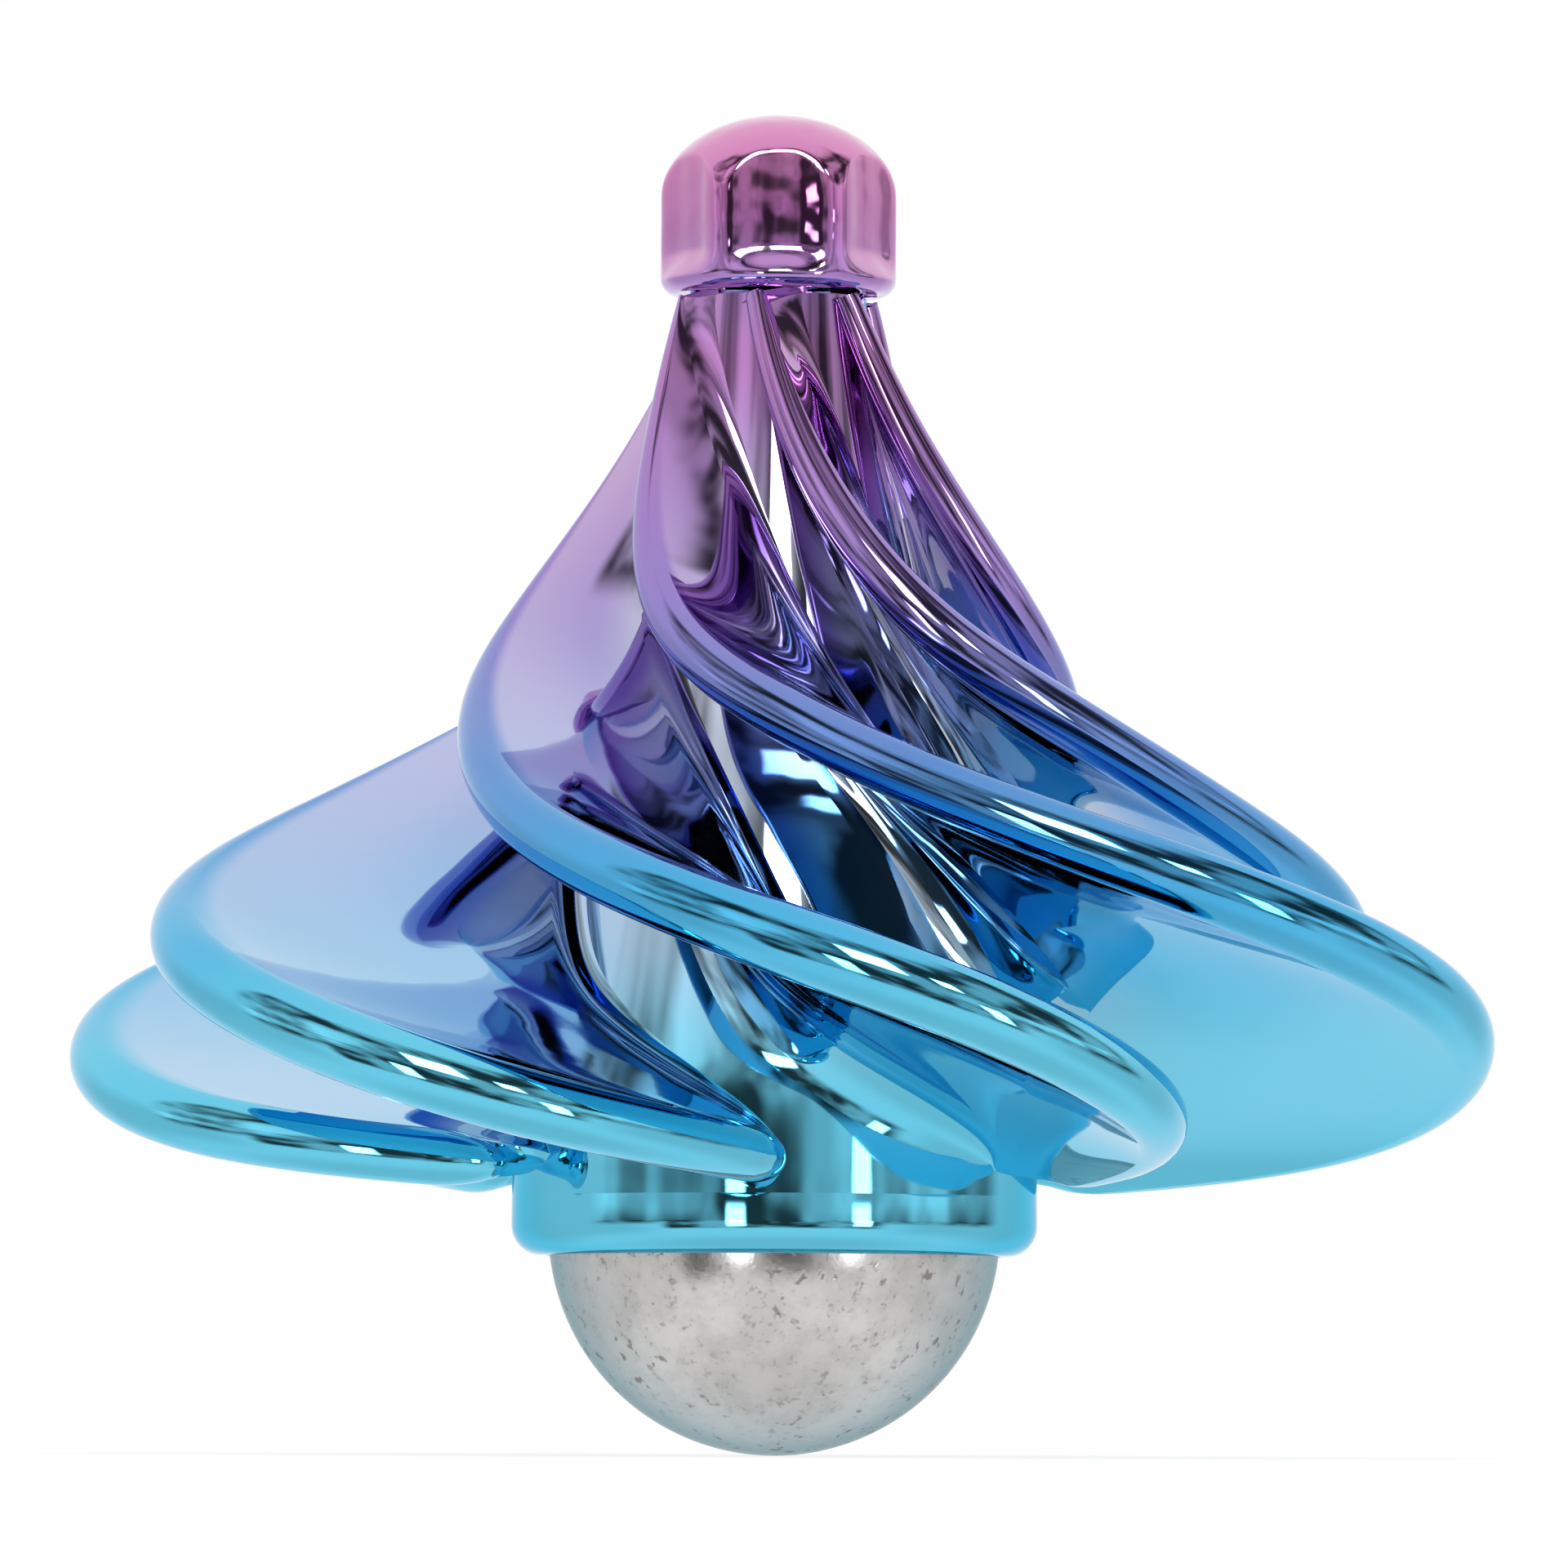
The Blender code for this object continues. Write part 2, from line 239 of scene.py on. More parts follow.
# Sockets of a Mix node that mixes colours
MIX_FIRST = 6
MIX_SECOND = 7
MIX_RESULT = 2
WHITE = (1.0, 1.0, 1.0, 1.0)


class TopSizes(bpy.types.PropertyGroup):
    """Sizes of the top that a user would change."""

    ball_radius: FloatProperty(
        name="Ball radius", description="Radius of the steel ball",
        default=(BALL_BOX[1].z - BALL_BOX[0].z) / 2, unit="LENGTH", precision=5)
    collar_radius: FloatProperty(
        name="Collar radius", description="Outer radius of the collar and of the hub's skirt",
        default=COLLAR_BOX[1].x, unit="LENGTH", precision=5)
    collar_bead: FloatProperty(
        name="Collar bead", description="Radius of the collar's rounded rim",
        default=0.9 * MM, unit="LENGTH", precision=5)
    shoulder_height: FloatProperty(
        name="Shoulder height", description="Height at which the hub starts to narrow",
        default=9.0 * MM, unit="LENGTH", precision=5)
    skirt_lean: FloatProperty(
        name="Skirt lean", description="Angle by which the hub's skirt leans in above the collar",
        default=math.radians(0.3), subtype="ANGLE")
    vane_count: IntProperty(
        name="Vanes", description="Number of vanes round the hub", default=len(VANE_NODES), min=1)
    vane_phase: FloatProperty(
        name="Vane phase", description="Angle of the first vane about the spin axis",
        default=math.radians(4.3), subtype="ANGLE")
    web_half: FloatProperty(
        name="Web half thickness", description="Half the thickness of a vane between root and lip",
        default=0.45 * MM, unit="LENGTH", precision=5)
    upper_fillet: FloatProperty(
        name="Upper fillet",
        description="Fillet on top of a vane's root, as a share of the hub's radius",
        default=0.10, min=0.02, max=0.5)
    lower_fillet: FloatProperty(
        name="Lower fillet",
        description="Fillet under a vane's root, as a share of the hub's radius",
        default=0.38, min=0.02, max=0.8)
    knob_radius: FloatProperty(
        name="Knob radius", description="Radius of the knob over its ridges",
        default=KNOB_BOX[1].x, unit="LENGTH", precision=5)
    dome_height: FloatProperty(
        name="Dome height", description="Height of the knob's domed crown",
        default=2.4 * MM, unit="LENGTH", precision=5)
    flat_depth: FloatProperty(
        name="Flat depth", description="Depth of the knob's flats",
        default=0.42 * MM, unit="LENGTH", precision=5)


def colour_property(name, description, colour):
    """Colour that a user would change."""
    return FloatVectorProperty(
        name=name, description=description, subtype="COLOR", size=3, min=0.0, max=1.0, default=colour)


class TopColours(bpy.types.PropertyGroup):
    """Colours of the plating, from the crown down, with its painted sheen tints, of the steel with its
    painted rim, and of the floor.
    """

    crown: colour_property("Crown", "Plating on the knob's crown", (0.72, 0.26, 0.51))
    knob: colour_property("Knob", "Plating on the knob's side", (0.48, 0.16, 0.45))
    lilac: colour_property("Lilac", "Plating at the knob's foot", (0.42, 0.23, 0.58))
    neck: colour_property("Neck", "Plating at the neck", (0.46, 0.20, 0.50))
    violet: colour_property("Violet", "Plating on the upper vanes", (0.32, 0.22, 0.58))
    blue: colour_property("Blue", "Plating at mid height", (0.11, 0.26, 0.62))
    sky: colour_property("Sky", "Plating on the lower vanes", (0.06, 0.42, 0.74))
    cyan: colour_property("Cyan", "Plating at the rim and the collar", (0.13, 0.59, 0.80))
    silver: colour_property("Silver", "Thin plating deep between the vanes", (0.58, 0.63, 0.70))
    # Painted sheen: paler tints that upward faces take at a glancing angle, standing in for reflected
    # light
    painted_sheen_rim: colour_property("Pale rim", "Lowest plating at a glancing angle", (0.52, 0.69, 0.87))
    painted_sheen_low: colour_property("Pale low", "Lower plating at a glancing angle", (0.36, 0.60, 0.83))
    painted_sheen_middle: colour_property("Pale middle", "Middle plating at a glancing angle", (0.54, 0.52, 0.77))
    painted_sheen_high: colour_property("Pale high", "Upper plating at a glancing angle", (0.58, 0.36, 0.60))
    collar_edge: colour_property("Collar edge", "Collar and hub seen edge on", (0.26, 0.65, 0.83))
    vane_edge: colour_property("Vane edge", "Vanes seen edge on", (0.74, 0.86, 0.94))
    knob_edge: colour_property("Knob edge", "Knob seen edge on", (1.0, 1.0, 1.0))
    steel: colour_property("Steel", "The ball's steel", (0.665, 0.655, 0.645))
    # Painted shade and painted reflection: the ball's darker, bluer rim at a glancing angle, also used
    # to tint the steel's edge reflection
    painted_rim_and_edge_tint: colour_property("Steel rim", "The ball's steel at a glancing angle", (0.45, 0.55, 0.58))
    tarnish: colour_property("Tarnish", "Specks on the ball's steel", (0.22, 0.18, 0.15))
    floor: colour_property("Floor", "The pale floor", (0.96, 0.96, 0.96))


class Wire:
    """A node's output whose Python operators add Math nodes."""

    def __init__(self, graph, socket):
        self.graph = graph
        self.socket = socket

    def math(self, operation, *others):
        """Result of a Math node on this value and others."""
        return self.graph.node("ShaderNodeMath", {"operation": operation}, [self, *others])

    def __add__(self, other):
        return self.math("ADD", other)

    def __sub__(self, other):
        return self.math("SUBTRACT", other)

    def __rsub__(self, other):
        return self.graph.node("ShaderNodeMath", {"operation": "SUBTRACT"}, [other, self])

    def __mul__(self, other):
        return self.math("MULTIPLY", other)

    def __truediv__(self, other):
        return self.math("DIVIDE", other)

    __radd__ = __add__
    __rmul__ = __mul__

    def clamp(self):
        """This value kept between 0 and 1."""
        return self.graph.node("ShaderNodeClamp", {}, {"Value": self})

    def step(self, low, high):
        """Smooth rise from 0 at low to 1 at high."""
        return self.graph.node(
            "ShaderNodeMapRange", {"interpolation_type": "SMOOTHSTEP"},
            {"Value": self, "From Min": low, "From Max": high})


class Graph:
    """A node tree that is filled by one method."""

    def __init__(self, tree):
        self.tree = tree
        tree.nodes.clear()

    def node(self, kind, settings=None, inputs=None, output=0):
        """Adds a node, sets it up, joins its inputs and returns one of its outputs."""
        node = self.tree.nodes.new(kind)
        for name, value in (settings or {}).items():
            if name == "stops":
                self.set_stops(node.color_ramp, value)
            else:
                setattr(node, name, value)
        pairs = enumerate(inputs) if isinstance(inputs, list) else (inputs or {}).items()
        for name, value in pairs:
            if isinstance(value, Wire):
                self.tree.links.new(value.socket, node.inputs[name])
            else:
                node.inputs[name].default_value = value
        return Wire(self, node.outputs[output]) if node.outputs else None

    def set_stops(self, ramp, stops):
        """Gives a ramp its stops, as (position, colour) pairs in order."""
        while len(ramp.elements) < len(stops):
            ramp.elements.new(0.5)
        for element, (position, colour) in zip(ramp.elements, stops):
            element.position = position
            element.color = opaque(colour)

    def coordinate(self, kind, axis=None):
        """Texture coordinate of a kind, or one of its axes."""
        place = self.node("ShaderNodeTexCoord", output=kind)
        return self.node("ShaderNodeSeparateXYZ", inputs=[place], output=axis) if axis else place

    def facing(self):
        """0 where a surface faces the viewer, 1 where it is seen edge on."""
        return self.node("ShaderNodeLayerWeight", output="Facing")

    def ray(self, kind):
        """1 for the rays that Light Path names, 0 for others."""
        return self.node("ShaderNodeLightPath", output=kind)

    def mix(self, factor, first, second):
        """Mix of two colours."""
        return self.node(
            "ShaderNodeMix", {"data_type": "RGBA"},
            {"Factor": factor, MIX_FIRST: first, MIX_SECOND: second}, output=MIX_RESULT)

    def noise(self, place, scale, detail=2.0, roughness=0.5):
        """Value of a noise texture."""
        return self.node(
            "ShaderNodeTexNoise", {},
            {"Vector": place, "Scale": scale, "Detail": detail, "Roughness": roughness})


def opaque(colour):
    """Colour with full alpha."""
    return (*colour, 1.0)


def new_material(name):
    """Empty material and its graph."""
    material = bpy.data.materials.new(name)
    material.use_nodes = True
    return material, Graph(material.node_tree)


def height_tints(graph, colours, share):
    """Plating's tint at a share of the top's height, and the paler tint of its painted sheen at a
    glancing angle.
    """
    stops = [
        (0.00, colours.cyan), (0.30, colours.cyan), (0.40, colours.sky), (0.50, colours.blue),
        (0.64, colours.violet), (0.82, colours.neck), (0.868, colours.lilac), (0.92, colours.knob),
        (1.00, colours.crown),
    ]
    # Painted sheen tints by height
    painted_sheen_stops = [
        (0.28, colours.painted_sheen_rim), (0.345, colours.painted_sheen_low), (0.52, colours.painted_sheen_middle),
        (0.80, colours.painted_sheen_high), (1.00, colours.crown),
    ]
    tint = graph.node("ShaderNodeValToRGB", {"stops": stops}, {"Fac": share})
    pale = graph.node("ShaderNodeValToRGB", {"stops": painted_sheen_stops}, {"Fac": share})
    return tint, pale


def bare_silver(share, reach, tilt):
    """Share of silver in the plating: at mid height, deep between the vanes and on their undersides."""
    deep = 1 - reach.step(*DEEP_REACH)
    underside = (1 - tilt.step(*SHELTERED_TILT)) * (1 - reach.step(*SHELTERED_REACH))
    sheltered = underside * share.step(*SHELTERED_SHARE)
    middle = (1 - share.step(*BARE_TO_SHARE)) * share.step(*BARE_FROM_SHARE)
    return deep.math("MAXIMUM", sheltered) * middle * BARENESS


def plating(name, colours, edge, smudge_scale, ripple, ripple_scale=RIPPLE_SCALE):
    """Mirror plating under clear lacquer, tinted by height from pink crown to cyan rim, with a painted
    sheen on upward faces.
    """
    material, graph = new_material(name)
    place = graph.coordinate("Object")
    tint_cloud = graph.noise(place, TINT_CLOUD_SCALE)
    share = graph.coordinate("Object", "Z") / CAD_BOX[1][2] + (tint_cloud - 0.5) * TINT_CLOUD_SHIFT
    reach = graph.node("ShaderNodeAttribute", {"attribute_name": "reach"}, output="Fac")
    tilt = graph.coordinate("Normal", "Z")
    tint, pale = height_tints(graph, colours, share)
    thin = graph.mix(bare_silver(share, reach, tilt), tint, opaque(colours.silver))
    # Painted sheen: upward faces seen at a glancing angle take the paler tint
    upper_face = (1 - reach.step(*LIP_REACH)) * tilt.step(*UPWARD_TILT) * share.step(*ABOVE_COLLAR_SHARE)
    sheen = graph.mix(graph.facing().step(*SHEEN_FACING) * upper_face * SHEEN, thin, pale)
    smudge = graph.noise(place, smudge_scale, detail=4.0, roughness=0.6)
    waviness = graph.noise(place, ripple_scale, detail=1.0)
    bump = graph.node(
        "ShaderNodeBump", {}, {"Strength": ripple, "Distance": RIPPLE_DEPTH, "Height": waviness})
    roughness = PLATING_ROUGHNESS + SMUDGE_ROUGHNESS * smudge.step(*SMUDGE_RANGE)
    shader = graph.node(
        "ShaderNodeBsdfPrincipled", {},
        {"Base Color": sheen, "Metallic": 1.0, "Roughness": roughness, "Normal": bump,
         "Specular Tint": opaque(edge), **LACQUER})
    graph.node("ShaderNodeOutputMaterial", {}, {"Surface": shader})
    return material


def tumbled_steel(name, colours):
    """Satin bearing steel with fine specks and faint scuffs from tumbling, and a painted darker, bluer
    rim.
    """
    material, graph = new_material(name)
    place = graph.coordinate("Object")
    cloud = graph.noise(place, scale=380.0, detail=4.0, roughness=0.6)
    blotch = graph.noise(place, scale=1100.0, detail=4.0, roughness=0.65)
    speck = graph.noise(place, scale=2300.0, detail=2.0, roughness=0.6)
    grain = graph.noise(place, scale=5200.0, detail=2.0)
    pits = speck.step(*PIT_SPECKS) * cloud.step(*PIT_CLOUDS)
    dust = grain.step(*DUST_GRAINS) * blotch.step(*DUST_BLOTCHES)
    clouded = tuple(CLOUDED * value for value in colours.steel)
    tone = graph.mix(blotch.step(*CLOUDED_BLOTCHES), opaque(colours.steel), opaque(clouded))
    # Painted shade and painted reflection: the steel turns darker and bluer towards the ball's outline
    with_painted_rim = graph.mix(graph.facing().step(*RIM_FACING), tone, opaque(colours.painted_rim_and_edge_tint))
    specks = (pits * PIT_STAIN + dust * DUST_STAIN).clamp()
    stained = graph.mix(specks, with_painted_rim, opaque(colours.tarnish))
    bump = graph.node(
        "ShaderNodeBump", {},
        {"Strength": RELIEF_STRENGTH, "Distance": RELIEF_DEPTH, "Height": grain * GRAIN_RELIEF - pits})
    roughness = STEEL_ROUGHNESS + CLOUD_ROUGHNESS * cloud + PIT_ROUGHNESS * pits
    shader = graph.node(
        "ShaderNodeBsdfPrincipled", {},
        {"Base Color": stained, "Metallic": 1.0, "Roughness": roughness, "Normal": bump,
         "Specular Tint": opaque(colours.painted_rim_and_edge_tint)})
    graph.node("ShaderNodeOutputMaterial", {}, {"Surface": shader})
    return material


def spline_through(values, positions):
    """Natural cubic spline through evenly spaced values, read at positions counted in steps."""
    count = len(values)
    matrix = np.eye(count)
    change = np.zeros(count)
    for row in range(1, count - 1):
        matrix[row, row - 1:row + 2] = (1, 4, 1)
        change[row] = 6 * (values[row - 1] - 2 * values[row] + values[row + 1])
    bend = np.linalg.solve(matrix, change)
    index = np.clip(np.floor(positions).astype(int), 0, count - 2)
    after = positions - index
    before = 1 - after
    straight = before * values[index] + after * values[index + 1]
    curve = (before ** 3 - before) * bend[index] + (after ** 3 - after) * bend[index + 1]
    return straight + curve / 6


def polar(radius, angle, height):
    """Points at radii, angles about +Z and heights."""
    axes = np.broadcast_arrays(radius * np.cos(angle), radius * np.sin(angle), height)
    return np.stack(axes, axis=-1)


def unit(vectors):
    """Vectors brought to length 1."""
    return vectors / np.linalg.norm(vectors, axis=-1, keepdims=True)


def soft_least(first, second, softness):
    """Lesser of two values, with a soft change from one to the other."""
    return (first + second - np.sqrt((first - second) ** 2 + softness ** 2)) / 2


def along_lip(values, turn):
    """Lip value at a turn."""
    return spline_through(values, (turn - LIP_START) / LIP_STEP)


def hub_radius(sizes, height):
    """Radius of the hub: a skirt, a soft shoulder, then a trumpet that narrows to the neck."""
    trumpet = spline_through(HUB_RADII, (height - sizes.shoulder_height) / HUB_STEP)
    skirt = sizes.collar_radius - (height - BEAD_TOP) * math.tan(sizes.skirt_lean)
    return soft_least(trumpet, skirt, SHOULDER_SOFTNESS)


def vane_sheet(sizes, turn, across):
    """Middle surface of a vane, ruled level from the hub (0) to its lip (1)."""
    height = along_lip(LIP_HEIGHTS, turn)
    inner = hub_radius(sizes, height)
    radius = inner + (along_lip(LIP_RADII, turn) - inner) * across
    root = along_lip(ROOT_TURNS, turn)
    return polar(radius, root + (turn - root) * across, height)


def vane_normals(sizes, turn, across):
    """Unit normals of the middle surface, on its upper side, and directions along the lip."""
    nudge = math.radians(0.2)
    step = 0.005
    along = vane_sheet(sizes, turn + nudge, across) - vane_sheet(sizes, turn - nudge, across)
    outward = vane_sheet(sizes, turn, across + step) - vane_sheet(sizes, turn, across - step)
    return unit(np.cross(outward, along)), unit(along)


def on_hub(sizes, points):
    """Points moved level onto the hub's surface, and the hub's outward normals there."""
    angle = np.arctan2(points[..., 1], points[..., 0])
    height = points[..., 2]
    step = 0.02 * MM
    lean = (hub_radius(sizes, height - step) - hub_radius(sizes, height + step)) / (2 * step)
    normals = unit(np.stack((np.cos(angle), np.sin(angle), lean), axis=-1))
    return polar(hub_radius(sizes, height), angle, height), normals


def root_fillet(sizes, root, away, half, fillet, face):
    """Curve from the hub up onto a vane's face, on the side that the unit vectors away point to."""
    _, hub_normal = on_hub(sizes, root)
    lean = np.sum(away * hub_normal, axis=-1, keepdims=True)
    aside = away - lean * hub_normal
    square = np.clip(np.linalg.norm(aside, axis=-1, keepdims=True), LEAST_ASIDE, None)
    aside = unit(aside)
    corner, _ = on_hub(sizes, root + aside * half / square)
    foot, foot_normal = on_hub(sizes, corner + aside * fillet)
    foot = foot - foot_normal * FOOT_SINK
    buried = foot + (aside - foot_normal) * FOOT_LAP
    share = np.linspace(0, 1, FILLET_COLUMNS)[None, :-1, None]
    curve = (1 - share) ** 2 * foot + 2 * share * (1 - share) * corner + share ** 2 * face[:, :1]
    return np.concatenate((buried, curve), axis=1)


def vane_side(sizes, turn, web_half, lip_half, fillet, side):
    """One side of a vane, 1 above or -1 below, from its buried foot to its lip, and its reach."""
    hub_side = np.zeros((1, 1))
    root = vane_sheet(sizes, turn, hub_side)
    length = np.linalg.norm(vane_sheet(sizes, turn, np.ones((1, 1))) - root, axis=-1)
    fade = np.clip((FILLET_END - turn) / FILLET_FADE, LEAST_FADE, 1)
    width = np.minimum(fillet * hub_radius(sizes, root[..., 2]), FILLET_OF_LENGTH * length) * fade
    start = np.clip(width / np.maximum(length, SHORTEST_VANE), 0, FARTHEST_START)
    spread = (0.5 - 0.5 * np.cos(math.pi * np.linspace(0, 1, VANE_COLUMNS)))[None, :-1]
    across = start + (1 - start) * spread
    normals, _ = vane_normals(sizes, turn, across)
    half = (web_half + (lip_half - web_half) * across ** LIP_GROWTH)[..., None]
    face = vane_sheet(sizes, turn, across) + side * normals * half
    root_normal, _ = vane_normals(sizes, turn, hub_side)
    foot = root_fillet(sizes, root, side * root_normal, web_half[..., None], width[..., None], face)
    reach = np.concatenate((np.zeros((len(turn), FILLET_COLUMNS)), across), axis=1)
    return np.concatenate((foot, face), axis=1), reach


def vane_turns():
    """Turns of a vane's sections, closer together where its tail closes."""
    body = np.linspace(VANE_FIRST, VANE_LAST, VANE_ROWS)
    tail = VANE_LAST - TAIL_NOSE * (1 - np.sin(np.linspace(0, math.pi / 2, TAIL_ROWS)))
    return np.concatenate((body[body < VANE_LAST - TAIL_NOSE], tail))[:, None]


def vane_rings(sizes):
    """Sections of one vane, upper side first, and how far each point stands out from the hub."""
    turn = vane_turns()
    into_nose = np.clip((turn - (VANE_LAST - TAIL_NOSE)) / TAIL_NOSE, 0, 1)
    closing = np.sqrt(np.clip(1 - into_nose ** 2, TAIL_END ** 2, 1))
    lip_half = along_lip(LIP_HALVES, turn) * closing
    web_half = np.minimum(sizes.web_half, WEB_OF_LIP * lip_half)
    above, reach_above = vane_side(sizes, turn, web_half, lip_half, sizes.upper_fillet, 1)
    below, reach_below = vane_side(sizes, turn, web_half, lip_half, sizes.lower_fillet, -1)
    lip_side = np.ones((1, 1))
    lip = vane_sheet(sizes, turn, lip_side)
    lip_normal, lip_along = vane_normals(sizes, turn, lip_side)
    outward = unit(np.cross(lip_along, lip_normal))
    swing = math.pi * (0.5 - np.linspace(0, 1, LIP_COLUMNS))[None, :, None]
    bead = lip + lip_half[..., None] * (outward * np.cos(swing) + lip_normal * np.sin(swing))
    rings = np.concatenate((above, bead, below[:, ::-1]), axis=1)
    full = np.ones((len(turn), LIP_COLUMNS))
    reach = np.concatenate((reach_above, full, reach_below[:, ::-1]), axis=1)
    return rings, reach


def skin(rings, name, reach=0.0, close_rows=False):
    """Mesh over rings of equal length, with how far its points stand out from the hub."""
    rows, columns = rings.shape[:2]
    faces = []
    for row in range(rows if close_rows else rows - 1):
        here = row * columns
        there = (row + 1) % rows * columns
        for column in range(columns):
            after = (column + 1) % columns
            faces.append((here + column, here + after, there + after, there + column))
    if not close_rows:
        faces.append(tuple(range(columns))[::-1])
        faces.append(tuple(range((rows - 1) * columns, rows * columns)))
    mesh = bpy.data.meshes.new(name)
    mesh.from_pydata(rings.reshape(-1, 3).tolist(), [], faces)
    layer = mesh.attributes.new("reach", "FLOAT", "POINT")
    layer.data.foreach_set("value", np.broadcast_to(reach, (rows, columns)).ravel().astype(np.float32))
    return mesh


def turned(name, outline):
    """Mesh turned about the spin axis from a closed outline of (radius, height) points."""
    angles = np.linspace(0, 2 * math.pi, TURNED_SEGMENTS, endpoint=False)
    outline = np.array(outline)
    rings = polar(outline[:, 0][:, None], angles[None, :], outline[:, 1][:, None])
    return skin(rings, name, close_rows=True)


def rounded(corners):
    """Closed outline from (radius, height, rounding) corners, each rounded by an arc."""
    outline = []
    count = len(corners)
    for index in range(count):
        before = np.array(corners[index - 1][:2])
        corner = np.array(corners[index][:2])
        after = np.array(corners[(index + 1) % count][:2])
        rounding = corners[index][2]
        if rounding == 0:
            outline.append(tuple(corner))
            continue
        to_before = unit(before - corner)
        to_after = unit(after - corner)
        half_angle = math.acos(float(np.clip(to_before @ to_after, -1, 1))) / 2
        cut_back = rounding / math.tan(half_angle)
        centre = corner + unit(to_before + to_after) * rounding / math.sin(half_angle)
        start = corner + to_before * cut_back - centre
        end = corner + to_after * cut_back - centre
        for share in np.linspace(0, 1, ARC_STEPS + 1):
            direction = unit(start * (1 - share) + end * share)
            outline.append(tuple(centre + direction * rounding))
    return outline


def outward_smooth(mesh):
    """Merges doubles, turns the faces outwards and shades the mesh smooth."""
    work = bmesh.new()
    work.from_mesh(mesh)
    bmesh.ops.remove_doubles(work, verts=work.verts, dist=MERGE_DISTANCE)
    bmesh.ops.recalc_face_normals(work, faces=work.faces)
    work.to_mesh(mesh)
    work.free()
    mesh.shade_smooth()
    mesh.set_sharp_from_angle(angle=SHARP_ANGLE)


def linked(name, data):
    """New object of a mesh or camera, linked to the scene."""
    item = bpy.data.objects.new(name, data)
    bpy.context.scene.collection.objects.link(item)
    return item


def add_piece(name, mesh, material, body, nodes):
    """Places a mesh as a piece that rides on a body in place of CAD nodes."""
    outward_smooth(mesh)
    mesh.materials.clear()
    mesh.materials.append(material)
    piece = linked(name, mesh)
    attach(piece, body)
    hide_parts(*nodes)


def ring_of_copies(name):
    """Geometry node group that sets copies of a mesh evenly round the spin axis."""
    group = bpy.data.node_groups.new(name, "GeometryNodeTree")
    inputs = (("Geometry", "Geometry"), ("Count", "Int"), ("Phase", "Float"), ("Finish", "Material"))
    for label, kind in inputs:
        group.interface.new_socket(label, in_out="INPUT", socket_type=f"NodeSocket{kind}")
    group.interface.new_socket("Geometry", in_out="OUTPUT", socket_type="NodeSocketGeometry")
    graph = Graph(group)
    given = group.nodes.new("NodeGroupInput")
    mesh, count, phase, material = (Wire(graph, given.outputs[label]) for label, _ in inputs)
    points = graph.node("GeometryNodePoints", {}, {"Count": count})
    turn = graph.node("GeometryNodeInputIndex") * 2 * math.pi / count + phase
    rotation = graph.node("ShaderNodeCombineXYZ", {}, {"Z": turn})
    copies = graph.node(
        "GeometryNodeInstanceOnPoints", {},
        {"Points": points, "Instance": mesh, "Rotation": rotation})
    solid = graph.node("GeometryNodeRealizeInstances", {}, {"Geometry": copies})
    finished = graph.node("GeometryNodeSetMaterial", {}, {"Geometry": solid, "Material": material})
    graph.node("NodeGroupOutput", {}, {"Geometry": finished})
    return group


def spread_round(mesh, count, phase, material):
    """Plain mesh of copies of a mesh, evenly round the spin axis."""
    carrier = linked(mesh.name, mesh)
    modifier = carrier.modifiers.new("ring", "NODES")
    modifier.node_group = ring_of_copies("ring_of_copies")
    values = {"Count": count, "Phase": phase, "Finish": material}
    for item in modifier.node_group.interface.items_tree:
        if item.in_out == "INPUT" and item.name in values:
            modifier[item.identifier] = values[item.name]
    seen = carrier.evaluated_get(bpy.context.evaluated_depsgraph_get())
    result = bpy.data.meshes.new_from_object(seen)
    bpy.data.objects.remove(carrier)
    return result


class MakeBall(bpy.types.Operator):
    """Makes the tumbled steel ball."""

    bl_idname = "spinning_top.make_ball"
    bl_label = "Ball"

    def execute(self, context):
        sizes = context.scene.top_sizes
        swing = np.linspace(-math.pi / 2, math.pi / 2, BALL_ROWS)
        outline = np.stack((np.cos(swing), 1 + np.sin(swing)), axis=-1) * sizes.ball_radius
        outline[[0, -1], 0] = 0.0
        mesh = turned("steel_ball_skin", outline)
        material = tumbled_steel("tumbled_steel", context.scene.top_colours)
        add_piece("tumbled_ball", mesh, material, "ball", ["steel_ball"])
        return {"FINISHED"}


class MakeCollar(bpy.types.Operator):
    """Makes the collar with its rounded rim."""

    bl_idname = "spinning_top.make_collar"
    bl_label = "Collar"

    def execute(self, context):
        sizes = context.scene.top_sizes
        colours = context.scene.top_colours
        rim = BEAD_TOP - sizes.collar_bead
        outer = hub_radius(sizes, BEAD_TOP)
        inner = sizes.ball_radius + POCKET_GAP
        mouth = math.sqrt(sizes.ball_radius ** 2 - (sizes.ball_radius - rim) ** 2) + MOUTH_GAP
        corners = [
            (hub_radius(sizes, COLLAR_TOP) - COLLAR_INSET, COLLAR_TOP, COLLAR_ROUNDING),
            (hub_radius(sizes, HUB_LOW) - COLLAR_FLUSH, HUB_LOW, 0.0),
            (outer, BEAD_TOP, 0.0),
            (outer, rim, BEAD_ROUNDNESS * sizes.collar_bead),
            (mouth, rim, MOUTH_ROUNDING),
            (inner, sizes.ball_radius, 0.0),
            (inner, COLLAR_TOP, COLLAR_ROUNDING),
        ]
        mesh = turned("ball_collar_skin", rounded(corners))
        material = plating(
            "collar_plating", colours, colours.collar_edge, smudge_scale=300.0, ripple=0.10)
        add_piece("rolled_collar", mesh, material, "rotor", ["ball_collar"])
        return {"FINISHED"}


